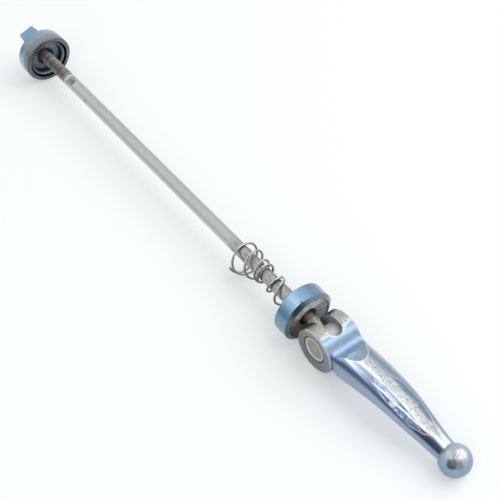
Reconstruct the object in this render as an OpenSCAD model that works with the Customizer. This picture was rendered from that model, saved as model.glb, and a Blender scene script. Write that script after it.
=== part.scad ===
// Quick release skewer: a steel rod with a winged nut at one end and a forged cam lever at the
// other, a sliding end cap with a round bearing dish, and two conical springs on the rod.
// It lies on its side. +X runs along the rod from the nut to the lever, +Z is up, and the
// lever's pivot barrel lies along Y.

/* [Rod] */
// Diameter of the plain shank
shank_d = 5.0; // [4.6:0.1:5.2]
// Outer diameter of the thread
thread_d = 4.9; // [4.4:0.1:5.0]
// Length of the threaded end
thread_len = 21.7; // [14:0.1:30]
// Diameter of the short plain neck beside the thread
neck_d = 4.5; // [4.0:0.1:4.8]
// Length of that neck
neck_len = 1.3; // [0.6:0.1:4]
// Free length of rod between the clamping faces of the nut and the cap
grip_len = 160.3; // [110:1:190]

/* [Pivot barrel] */
// Diameter of the cross barrel that the lever turns on
barrel_d = 9.84; // [9:0.02:10.6]
// Radial running gap between the barrel and the lever's bore
barrel_gap = 0.08; // [0.02:0.01:0.1]
// Diameter of the shallow recess in each end of the barrel
barrel_dimple_d = 7.6; // [5:0.1:8.4]
// Depth of that recess
barrel_dimple = 0.25; // [0.1:0.05:0.8]
// Depth of the rod's seat past the barrel's centre
rod_seat = 3.0; // [1:0.1:4]
// Gap round the rod in the barrel's cross hole
rod_seat_gap = 0.03; // [0.02:0.01:0.1]

/* [Lever head] */
// Distance from the cap's clamping face to the pivot
pivot_x = 17.92; // [17.5:0.1:24]
// Diameter of the round cam head
cam_d = 17.2; // [15.5:0.1:18]
// Distance from the pivot down to the centre of the cam
cam_throw = 1.0; // [0.5:0.05:1.2]
// Width of the head over both ears
head_w = 14.5; // [12:0.1:17]
// Chamfer round the edges of the ears
ear_chamfer = 0.45; // [0.1:0.05:1]
// Width of the slot that the rod passes through
slot_w = 5.6; // [5.5:0.1:6.4]
// How far the slot's round end is centred past the pivot
slot_past = 1.15; // [0.2:0.05:2]
// Slope of the flat scoop behind the head, rising towards the ball
scoop_slope = 16.5; // [8:0.5:24]
// Height of the scoop's floor above the cam's centre, square to the floor
scoop_h = 2.0; // [1:0.1:3.5]
// Radius of the hollow between the head and the scoop's floor
scoop_r = 2.6; // [1:0.1:5]

/* [Lever arm] */
// Distance from the pivot to the centre of the end ball
arm_len = 58; // [45:1:75]
// Diameter of the end ball
ball_d = 11.3; // [9:0.1:13]
// Sideways set of the ball from the lever's middle plane
arm_set = 3.0; // [-3:0.5:3]
// Height of the arm's bow above the straight line to the ball
arm_bow = 3.3; // [0:0.1:6]
// Width of the arm at its shoulder
shoulder_w = 15.6; // [14.6:0.1:18]
// Width of the arm at its waist
waist_w = 12.8; // [9:0.1:14]
// Width of the arm where it meets the ball
tip_w = 7.6; // [5:0.1:9]
// Thickness of the arm at the head
root_t = 12.9; // [9:0.1:14]
// Thickness of the arm at the ball
tip_t = 7.0; // [5:0.1:8]
// Greatest width of the leaf-shaped flat on top of the arm
leaf_w = 8.0; // [4:0.1:10]
// Hollow of that flat
leaf_dish = 0.35; // [0:0.05:0.8]
// Sideways set of its middle from the arm's own middle line
leaf_set = -1.0; // [-1.5:0.1:1.5]

/* [End cap] */
// Outer diameter of the cap
cap_d = 20.32; // [18:0.1:24]
// Length of the cap's plain outer band
cap_band = 5.95; // [5:0.05:8]
// Length of the chamfer on the lever side
cap_chamfer = 1.0; // [0.4:0.05:1.6]
// Radial gap between the cap's hole and the rod
cap_hole_gap = 0.1; // [0.05:0.01:0.1]
// Inner diameter of the serrated rim
cap_rim_in_d = 15.2; // [13.5:0.1:16]
// Depth of the spring's seat in the clamping face
spring_seat = 1.0; // [0.6:0.1:2]
// Distance from the clamping face to the dish's seat
dish_seat_x = 3.6; // [2.4:0.1:4.4]

/* [Bearing dish] */
// Outer diameter of the dish
dish_d = 16.4; // [14:0.1:17]
// Radial gap round the dish in the cap
dish_gap = 0.05; // [0.02:0.01:0.1]
// Diameter of the dish's hole
dish_hole_d = 7.2; // [6:0.1:9]
// How far the dish's rim lies below the cap's lip
dish_sunk = 0.3; // [0:0.05:1]
// Hollow of the dish
dish_hollow = 0.5; // [0.2:0.05:1.2]

/* [Serrations] */
// Number of teeth on the nut's ring
nut_teeth = 48; // [30:1:60]
// Number of teeth on the cap's rim
cap_teeth = 48; // [30:1:60]
// Depth of the grooves between the teeth
tooth_depth = 0.5; // [0.2:0.05:0.7]
// Width of each groove at the crests
groove_w = 0.8; // [0.4:0.05:0.9]

/* [Nut] */
// Outer diameter of the nut
nut_d = 20.08; // [18:0.1:24]
// Width of the steel ring along the rod
ring_w = 3.4; // [2.4:0.1:4.4]
// Inner diameter of the steel ring
ring_in_d = 16.6; // [14.5:0.1:17.4]
// Radial running gap between the ring and the nut's core
ring_gap = 0.06; // [0.02:0.01:0.1]
// Length of the nut's body from the clamping face to its back
nut_len = 8.7; // [7:0.1:11]
// Rounding of the nut's back edge
nut_round = 2.2; // [1:0.1:3.4]
// Diameter of the rounded rim inside the ring
core_rim_d = 15.6; // [13:0.1:16]
// Depth of the recess inside that rim
nut_recess = 2.4; // [1:0.1:3.2]
// Diameter of the counterbore round the thread
nut_counterbore_d = 6.9; // [6:0.1:9]
// Radial gap between the thread and the nut's hole
thread_gap = 0.05; // [0.02:0.01:0.1]

/* [Nut wings] */
// Width of each wing
wing_w = 6.4; // [4:0.1:8]
// Reach of the wings behind the clamping face
wing_reach = 12.4; // [10:0.1:16]
// Distance of the wings' outer faces from the rod's axis at the tip
wing_r = 9.4; // [7:0.1:9.4]
// Thickness of each wing at its tip
wing_t = 2.0; // [1.4:0.1:3]
// Extra half-width of each wing at its root
wing_flare = 0.7; // [0.2:0.1:1.4]
// Rounding of the corners of each wing's tip
wing_corner = 1.4; // [0.4:0.1:2.4]
// Turn of the wings about the rod, away from upright
wing_turn = 18; // [-90:1:90]

/* [Springs] */
// Wire diameter of both springs
wire_d = 0.85; // [0.6:0.05:1.1]
// Gap between the wide end of the lever-side spring and its seat
spring_gap = 0.12; // [0.1:0.01:0.3]
// Mean radius of the nut-side spring's wide end
nut_spring_wide_r = 6.24; // [6:0.01:6.5]
// Mean radius of its narrow end
nut_spring_narrow_r = 3.6; // [3.55:0.01:3.8]
// Distance of its wide end from the cap's clamping face
nut_spring_far = 30.3; // [28:0.1:40]
// Distance of its narrow end from the cap's clamping face
nut_spring_near = 17.4; // [17.4:0.1:20]
// Mean radius of the lever-side spring's narrow end
cap_spring_narrow_r = 3.4; // [3.35:0.01:3.6]
// Mean radius of its wide end
cap_spring_wide_r = 6.4; // [6:0.05:6.5]
// Distance of its narrow end from the cap's clamping face
cap_spring_far = 12.0; // [9:0.1:12.2]

/* [Hidden] */

// A small amount by which cutting shapes run past the faces they cut
eps = 0.02;
// Lengthwise gap between the nut's body and its ring
ring_face_gap = 0.05;
// How far the serrating grooves run past the rims they cut
groove_run = 0.8;
// The rod's threaded end stops this far short of the nut's back face
thread_short = 1.0;

shank_r = shank_d / 2;
wire_r = wire_d / 2;
cap_r = cap_d / 2;
cap_len = cap_band + cap_chamfer;
nut_x = -grip_len;
rod_end_x = nut_x - nut_len + thread_short;
thread_end_x = rod_end_x + thread_len;
cam_x = pivot_x;
cam_z = -cam_throw;
ball_x = pivot_x + arm_len;
axis_h = max(cap_r, nut_d / 2);
ball_z = ball_d / 2 - axis_h;

// The whole lies with its lowest points on z = 0 and its box centred on x = 0
model_lo_x = nut_x - wing_reach;
model_hi_x = ball_x + ball_d / 2;
model_shift = [-(model_lo_x + model_hi_x) / 2, 0, axis_h];

module placed() {
    translate(model_shift) children();
}

// A solid turned about the rod's axis from [radius, distance along the rod] points
module turned(points) {
    rotate([0, 90, 0]) rotate_extrude(convexity = 6, $fn = 96) polygon(points);
}

// A plate of the given outline in the X-Z plane, w wide along Y and centred on it
module across(w) {
    rotate([90, 0, 0]) translate([0, 0, -w / 2]) linear_extrude(height = w, convexity = 4) children();
}

// Points of a quarter turn or less about c, in [radius, distance] form
function arc(c, r, from, to, steps) =
    [for (i = [0 : steps]) let (a = from + (to - from) * i / steps) c + r * [cos(a), sin(a)]];

// V grooves between n radial teeth, cut into a face at x = 0 whose material lies on +X
module radial_grooves(n, r_in, r_out) {
    for (i = [0 : n - 1])
        rotate([(i + 0.5) * 360 / n, 0, 0])
            translate([0, 0, r_in])
                linear_extrude(height = r_out - r_in)
                    polygon([[-eps, -groove_w / 2], [-eps, groove_w / 2], [tooth_depth, 0]]);
}

module skewer_rod() {
    r_t = thread_d / 2;
    r_n = neck_d / 2;
    neck_x = thread_end_x + neck_len;
    shoulder = shank_r - r_n;
    tip_chamfer = 0.5;
    color("silver") placed()
        turned(concat(
            [[0, rod_end_x], [r_t - tip_chamfer, rod_end_x], [r_t, rod_end_x + tip_chamfer],
             [r_t, thread_end_x], [r_n, thread_end_x + (r_t - r_n)], [r_n, neck_x]],
            arc([shank_r - shoulder * 2, neck_x + shoulder * 2], shoulder * 2, -60, 0, 4),
            [[shank_r, pivot_x + rod_seat], [0, pivot_x + rod_seat]]));
}

module pivot_barrel() {
    r = barrel_d / 2;
    edge = 0.3;
    half = head_w / 2;
    color("lightgrey") placed()
        translate([pivot_x, 0, 0])
            difference() {
                rotate([90, 0, 0])
                    rotate_extrude($fn = 96)
                        polygon([[0, -half + barrel_dimple],
                                 [barrel_dimple_d / 2, -half + barrel_dimple],
                                 [barrel_dimple_d / 2 + barrel_dimple, -half],
                                 [r - edge, -half], [r, -half + edge],
                                 [r, half - edge], [r - edge, half],
                                 [barrel_dimple_d / 2 + barrel_dimple, half],
                                 [barrel_dimple_d / 2, half - barrel_dimple],
                                 [0, half - barrel_dimple]]);
                rotate([0, -90, 0])
                    translate([0, 0, -rod_seat])
                        cylinder(r = shank_r + rod_seat_gap, h = rod_seat + barrel_d, $fn = 64);
            }
}

// Smooth interpolation in a list of [place, value] pairs, level at its first and last pair
function eased(x, pairs, i = 0) =
    i >= len(pairs) - 2 || x < pairs[i + 1][0]
        ? let (u = max(0, min(1, (x - pairs[i][0]) / (pairs[i + 1][0] - pairs[i][0]))),
               m0 = slope(pairs, i), m1 = slope(pairs, i + 1),
               d = pairs[i + 1][0] - pairs[i][0])
          (2 * u * u * u - 3 * u * u + 1) * pairs[i][1] + (u * u * u - 2 * u * u + u) * d * m0
          + (3 * u * u - 2 * u * u * u) * pairs[i + 1][1] + (u * u * u - u * u) * d * m1
        : eased(x, pairs, i + 1);

function slope(p, i) =
    i == 0 || i == len(p) - 1 ? 0 : (p[i + 1][1] - p[i - 1][1]) / (p[i + 1][0] - p[i - 1][0]);

// Stations along the arm, as distances from the pivot: its root inside the head, the crease
// where it stands out past the ears, its shoulder and waist, and its end inside the ball
arm_root = 2.6;
crease_s = head_w * 0.58;
shoulder_s = crease_s + 3.2;
waist_s = arm_len * 0.58;
arm_end = arm_len - 2;
leaf_from = shoulder_s + 1.5;
leaf_wide_to = arm_len * 0.7;
leaf_to = arm_len * 0.88;
leaf_end = 0.3;
root_half_w = head_w / 2 - 0.5;

half_width_at = [[arm_root, root_half_w], [crease_s, root_half_w + 0.2],
                 [shoulder_s, shoulder_w / 2], [waist_s, waist_w / 2], [arm_end, tip_w / 2]];
leaf_half_at = [[arm_root, leaf_w / 4], [leaf_from, leaf_w / 2], [leaf_wide_to, leaf_w / 2],
                [(leaf_wide_to + leaf_to) / 2, leaf_w * 0.35], [leaf_to, leaf_end],
                [arm_end, leaf_end]];

// Height and side place of the arm's middle line at a distance s from the pivot
function middle_z(s) = cam_z + (ball_z - cam_z) * s / arm_len + arm_bow * pow(sin(180 * s / arm_len), 2);
function middle_y(s) = arm_set * s / arm_len;
function half_thick(s) = (root_t + (tip_t - root_t) * s / arm_end) / 2;
function leaf_middle(s) = leaf_set * sin(180 * s / arm_len);

// A rounded section is |y/a|^n + |z/b|^n = 1. Its upper half is square beside the head, where
// the scoop's edge runs out to the head's side, and nearly oval from the shoulder on.
section_n = 2.1;
square_at = [[arm_root, 5], [crease_s - 1.5, 4.5], [shoulder_s, section_n], [arm_end, section_n]];
function section_z(y, a, b, n) = b * pow(max(0, 1 - pow(min(1, abs(y) / a), n)), 1 / n);

function section_angle(y, a, b, n) =
    atan2(pow(section_z(y, a, b, n) / b, n / 2), sign(y) * pow(abs(y) / a, n / 2));
function section_point(q, a, b, n) =
    [a * sign(cos(q)) * pow(abs(cos(q)), 2 / n), b * sign(sin(q)) * pow(abs(sin(q)), 2 / n)];

// One ring of the arm: the leaf's flat from +Y to -Y, then round the underside
leaf_pts = 8;
round_pts = 36;
function arm_ring(s) =
    let (a = eased(s, half_width_at), b = half_thick(s), m = leaf_middle(s), n = eased(s, square_at),
         l = min(eased(s, leaf_half_at), a * 0.9 - abs(m)),
         z0 = section_z(m + l, a, b, n), z1 = section_z(m - l, a, b, n),
         q0 = section_angle(m + l, a, b, n), q1 = section_angle(m - l, a, b, n) - 360)
    concat(
        [for (i = [0 : leaf_pts]) let (u = i / leaf_pts)
            [m + l * (1 - 2 * u), z0 + (z1 - z0) * u - leaf_dish * min(1, l / 2) * 4 * u * (1 - u)]],
        [for (i = [1 : round_pts - 1])
            let (q = q1 + 360 + (q0 - q1) * i / round_pts)
            section_point(q, a, b, sin(q) > 0 ? n : section_n)]);

arm_rings = 48;

module arm_loft() {
    n = leaf_pts + round_pts;
    stations = [for (k = [0 : arm_rings]) arm_root + (arm_end - arm_root) * k / arm_rings];
    points = [for (s = stations) for (p = arm_ring(s))
                  [pivot_x + s, middle_y(s) + p[0], middle_z(s) + p[1]]];
    sides = [for (k = [0 : arm_rings - 1]) for (i = [0 : n - 1])
                 let (j = (i + 1) % n) [k * n + i, (k + 1) * n + i, (k + 1) * n + j, k * n + j]];
    first = [for (i = [0 : n - 1]) i];
    last = [for (i = [n - 1 : -1 : 0]) arm_rings * n + i];
    polyhedron(points = points, faces = concat(sides, [first, last]), convexity = 6);
}

// The round cam head with chamfered ears
module cam_head() {
    r = cam_d / 2;
    half = head_w / 2;
    translate([cam_x, 0, cam_z])
        rotate([90, 0, 0])
            rotate_extrude($fn = 128)
                polygon([[0, -half], [r - ear_chamfer, -half], [r, -half + ear_chamfer],
                         [r, half - ear_chamfer], [r - ear_chamfer, half], [0, half]]);
}

// The space over the scoop: a flat floor that meets the head in a hollow of radius scoop_r
module scoop() {
    reach = cam_d / 2 + scoop_r;
    hollow_z = scoop_h + scoop_r;
    hollow_x = sqrt(reach * reach - hollow_z * hollow_z);
    touch = cam_d / 2 / reach;
    translate([cam_x, 0, cam_z])
        rotate([0, -scoop_slope, 0])
            across(shoulder_w * 2) {
                translate([hollow_x, scoop_h]) square([arm_len / 3, arm_len / 3]);
                translate([hollow_x, hollow_z]) circle(r = scoop_r, $fn = 64);
                translate([hollow_x * touch - scoop_r, hollow_z * touch])
                    square([arm_len / 3, arm_len / 3]);
            }
}

module lever() {
    color("lightsteelblue") placed()
        difference() {
            union() {
                cam_head();
                difference() {
                    arm_loft();
                    scoop();
                }
                translate([ball_x, arm_set, ball_z]) sphere(d = ball_d, $fn = 64);
            }
            translate([pivot_x, 0, 0])
                rotate([90, 0, 0])
                    cylinder(r = barrel_d / 2 + barrel_gap, h = head_w * 2, center = true, $fn = 96);
            // the slot is open all round the head's cap side, so the lever can swing past the rod
            translate([pivot_x, 0, cam_z - cam_d])
                linear_extrude(height = cam_d * 2) {
                    translate([slot_past - cam_d, -slot_w / 2]) square([cam_d, slot_w]);
                    translate([slot_past, 0]) circle(d = slot_w, $fn = 64);
                }
        }
}

module end_cap() {
    hole_r = shank_r + cap_hole_gap;
    rim_r = cap_rim_in_d / 2;
    seat_r = dish_d / 2 + dish_gap;
    edge = 0.4;
    lip_w = 0.35;
    lip_edge = 0.25;
    seat_taper = 0.3;
    color("steelblue") placed()
        difference() {
            turned([[hole_r, spring_seat], [rim_r - seat_taper, spring_seat], [rim_r, 0],
                    [cap_r - edge, 0], [cap_r, edge], [cap_r, cap_band],
                    [seat_r + lip_w + lip_edge, cap_len], [seat_r + lip_w, cap_len],
                    [seat_r, cap_len - lip_w], [seat_r, dish_seat_x], [hole_r, dish_seat_x]]);
            radial_grooves(cap_teeth, rim_r - groove_run, cap_r + groove_run);
        }
}

module cap_bearing_dish() {
    r = dish_d / 2;
    hole_r = dish_hole_d / 2;
    top = cap_len - dish_sunk;
    edge = 0.2;
    rim_w = 0.8;
    hole_edge = 0.3;
    hollow_r = r - rim_w;
    color("peru") placed()
        turned(concat(
            [[hole_r, dish_seat_x], [r, dish_seat_x], [r, top - edge], [r - edge, top], [hollow_r, top]],
            [for (i = [1 : 6]) let (u = i / 6)
                [hollow_r + (hole_r + hole_edge - hollow_r) * u, top - dish_hollow * sin(90 * u)]],
            [[hole_r, top - dish_hollow - hole_edge]]));
}

// A spring hangs loose on the rod. Each row of its shape gives: the angle round the rod in turns
// (0 on the +Y side, a quarter at the top), the share of the way from its first end to its last
// along the rod, the same share for the radius, the drop below the axis, and the lean of the turn
nut_spring_shape = [[0.53, 0, 0, 2.6, -0.23], [1.0, 0.03, 0.09, 2.7, -0.23],
                    [1.5, 0.11, 0.2, 2.7, -0.23], [2.3, 0.49, 0.47, 0.9, -0.23],
                    [3.0, 0.74, 0.78, 0.47, -0.23], [3.6, 0.92, 0.92, 0, -0.23],
                    [4.6, 1, 1, -0.3, -0.2]];
cap_spring_shape = [[0.09, 0, 0.12, 0.5, 0.17], [1.0, 0.07, 0, 0.14, 0.17],
                    [1.5, 0.39, 0.26, 0.5, 0.17], [2.0, 0.62, 0.58, 0.6, 0.12],
                    [2.6, 0.91, 0.95, 0.4, 0.03], [2.85, 1, 1, 0.2, 0], [3.6, 1, 1, 0.2, 0]];

function column(rows, c) = [for (w = rows) [w[0], w[c]]];
function spring_point(t, shape, x0, x1, r0, r1) =
    let (r = r0 + (r1 - r0) * eased(t, column(shape, 2)), a = 360 * t)
    [x0 + (x1 - x0) * eased(t, column(shape, 1)) + r * eased(t, column(shape, 4)) * sin(a),
     r * cos(a), r * sin(a) - eased(t, column(shape, 3))];

wire_sides = 8;
rings_per_turn = 22;

module wire(path) {
    n = wire_sides;
    last = len(path) - 1;
    points = [for (k = [0 : last])
        let (d = path[min(k + 1, last)] - path[max(k - 1, 0)],
             t = d / norm(d),
             side = cross(t, [1, 0, 0]) / norm(cross(t, [1, 0, 0])),
             up = cross(side, t))
        for (i = [0 : n - 1]) path[k] + wire_r * (cos(360 * i / n) * side + sin(360 * i / n) * up)];
    sides = [for (k = [0 : last - 1]) for (i = [0 : n - 1])
        let (j = (i + 1) % n) [k * n + i, (k + 1) * n + i, (k + 1) * n + j, k * n + j]];
    polyhedron(points = points,
               faces = concat(sides, [[for (i = [0 : n - 1]) i],
                                      [for (i = [n - 1 : -1 : 0]) last * n + i]]),
               convexity = 8);
}

module coil(shape, x0, x1, r0, r1) {
    from = shape[0][0];
    turns = shape[len(shape) - 1][0] - from;
    rings = ceil(turns * rings_per_turn);
    wire([for (k = [0 : rings]) spring_point(from + turns * k / rings, shape, x0, x1, r0, r1)]);
}

module nut_side_spring() {
    color("grey") placed()
        coil(nut_spring_shape, -nut_spring_far, -nut_spring_near,
             nut_spring_wide_r, nut_spring_narrow_r);
}

module lever_side_spring() {
    color("grey") placed()
        coil(cap_spring_shape, -cap_spring_far, spring_seat - wire_r - spring_gap,
             cap_spring_narrow_r, cap_spring_wide_r);
}

// Everything on the nut is drawn with its clamping face at 0 and its back on +X, then turned round
module nut_placed() {
    placed() translate([nut_x, 0, 0]) rotate([0, 0, 180]) children();
}

module nut_serrated_ring() {
    r = nut_d / 2;
    r_in = ring_in_d / 2;
    edge = 0.35;
    color("darkgrey") nut_placed()
        difference() {
            turned([[r_in, edge / 2], [r_in + edge / 2, 0], [r - edge, 0], [r, edge * 1.5],
                    [r, ring_w], [r_in, ring_w]]);
            radial_grooves(nut_teeth, r_in - groove_run, r + groove_run);
        }
}

module nut_body() {
    r = nut_d / 2;
    back_r = r - nut_round;
    core_r = ring_in_d / 2 - ring_gap;
    rim_r = core_rim_d / 2;
    rim_back = 0.7;
    rim_round = 0.45;
    hole_r = thread_d / 2 + thread_gap;
    bore_r = nut_counterbore_d / 2;
    step_x = ring_w + ring_face_gap;
    floor_x = rim_back + nut_recess;
    bore_deep = 0.9;
    bore_cone = 0.3;
    rim_in_r = rim_r - 2 * rim_round;
    wall_slope = 0.7;
    floor_rise = 0.2;
    rim_deep = 0.7;
    groove_slope = 0.4;
    color("lightsteelblue") nut_placed()
        difference() {
            union() {
                turned(concat(
                    [[hole_r, floor_x + bore_deep + bore_cone], [bore_r, floor_x + bore_deep],
                     [bore_r, floor_x],
                     [rim_in_r - floor_rise - wall_slope, floor_x - floor_rise],
                     [rim_in_r - floor_rise, rim_back + rim_round]],
                    arc([rim_r - rim_round, rim_back + rim_round], rim_round, 180, 360, 8),
                    [[rim_r, rim_back + 2 * rim_deep],
                     [core_r, rim_back + 2 * rim_deep + groove_slope], [core_r, step_x],
                     [r, step_x]],
                    arc([back_r, nut_len - nut_round], nut_round, 0, 90, 6),
                    [[hole_r, nut_len]]));
                wings();
            }
            rotate([0, 90, 0]) cylinder(r = hole_r, h = wing_reach * 3, center = true, $fn = 64);
        }
}

// Two wings that lean back from the nut's shoulder, wider at their roots, round at their corners
module wings() {
    root_x = nut_len - nut_round - 0.2;
    root_r = 4;
    lean = 0.5;
    web = 1;
    shoulder_r = nut_d / 2 - nut_round * 0.45;
    tip_round = 0.5;
    for (side = [0, 180])
        rotate([side - wing_turn, 0, 0])
            intersection() {
                across(wing_w + 2 * wing_flare)
                    polygon([[root_x, root_r], [root_x, shoulder_r], [nut_len, wing_r - lean],
                             [wing_reach - tip_round, wing_r], [wing_reach, wing_r - tip_round],
                             [wing_reach, wing_r - wing_t + tip_round],
                             [wing_reach - tip_round, wing_r - wing_t],
                             [nut_len + web, wing_r - wing_t - web], [nut_len, root_r]]);
                linear_extrude(height = nut_d) wing_outline();
            }
}

// A wing seen from above, with X away from the clamping face
module wing_outline() {
    half = wing_w / 2;
    root_half = half + wing_flare;
    root_to = nut_len - nut_round;
    square_to = wing_reach - wing_corner;
    polygon([[0, -root_half], [root_to, -root_half], [square_to, -half],
             [square_to, half], [root_to, root_half], [0, root_half]]);
    translate([0, wing_corner - half]) square([wing_reach, wing_w - 2 * wing_corner]);
    for (y = [wing_corner - half, half - wing_corner])
        translate([square_to, y]) circle(r = wing_corner, $fn = 48);
}

skewer_rod();
pivot_barrel();
lever();
end_cap();
cap_bearing_dish();
lever_side_spring();
nut_side_spring();
nut_body();
nut_serrated_ring();
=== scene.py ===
import math

import bpy
from mathutils import Matrix, Vector


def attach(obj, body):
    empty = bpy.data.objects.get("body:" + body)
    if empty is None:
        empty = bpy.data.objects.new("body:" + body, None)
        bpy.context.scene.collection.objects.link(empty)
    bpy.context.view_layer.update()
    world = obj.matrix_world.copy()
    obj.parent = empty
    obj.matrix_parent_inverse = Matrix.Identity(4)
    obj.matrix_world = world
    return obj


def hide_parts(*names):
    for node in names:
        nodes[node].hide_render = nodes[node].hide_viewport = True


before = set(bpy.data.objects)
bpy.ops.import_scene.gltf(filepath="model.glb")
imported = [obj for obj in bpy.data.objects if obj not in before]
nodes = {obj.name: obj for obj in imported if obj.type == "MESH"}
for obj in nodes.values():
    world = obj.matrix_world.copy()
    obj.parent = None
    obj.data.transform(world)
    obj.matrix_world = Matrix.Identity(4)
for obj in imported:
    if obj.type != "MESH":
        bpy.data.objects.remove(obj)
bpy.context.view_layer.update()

MM = 0.001

# AXIS is the point of the rod's axis at the cap's clamping face, in the shared frame. All other
# places, here and in the materials, are measured from it, with X towards the lever and Z up.
# Lengths are in millimetres.
AXIS = (45.565, 0, 10.16)

# The lever: its pivot, the cam's centre, then the arm's length, side step, drop and bow.
PIVOT_X = 17.92
CAM_Z = -1.0
ARM_LEN = 58.0
ARM_SET = 3.0
ARM_DROP = 3.51
ARM_BOW = 3.3
BALL = (PIVOT_X + ARM_LEN, ARM_SET, CAM_Z - ARM_DROP)

# The nut's clamping face, and the rod with its thread and the neck beside it.
NUT_FACE_X = -160.3
ROD_END_X = -168.0
THREAD_END_X = -146.3
NECK_END_X = -145.0
SHANK_R, THREAD_R, NECK_R = 2.5, 2.45, 2.25
THREAD_PITCH, THREAD_DEPTH = 0.8, 0.24

# The camera that was fitted to the photograph: its place, its direction in degrees, and its
# focal length in pixels of a picture of PHOTO_PX by PHOTO_PX.
CAMERA_PLACE = (192.82, -175.71, 334.93)
CAMERA_AZIMUTH, CAMERA_ELEVATION, CAMERA_ROLL = 141.286, -49.601, 1.126
FOCAL_PX, PHOTO_PX = 1231, 500
SENSOR_MM = 36

# Linear colours of the floor's paper and of its glow.
PAPER, GLOW, GLOW_STRENGTH = (0.82, 0.84, 0.85, 1), (0.96, 1.0, 1.0, 1), 0.29


# ---------------------------------------------------------------- node materials

def srgb(r, g, b):
    """An sRGB colour of 0 to 255 as the linear one that a shader takes."""
    def linear(c):
        c /= 255
        return c / 12.92 if c <= 0.04045 else ((c + 0.055) / 1.055) ** 2.4
    return linear(r), linear(g), linear(b), 1.0


def grey(v, blue=3):
    return srgb(v, v + blue, v + blue)


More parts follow.
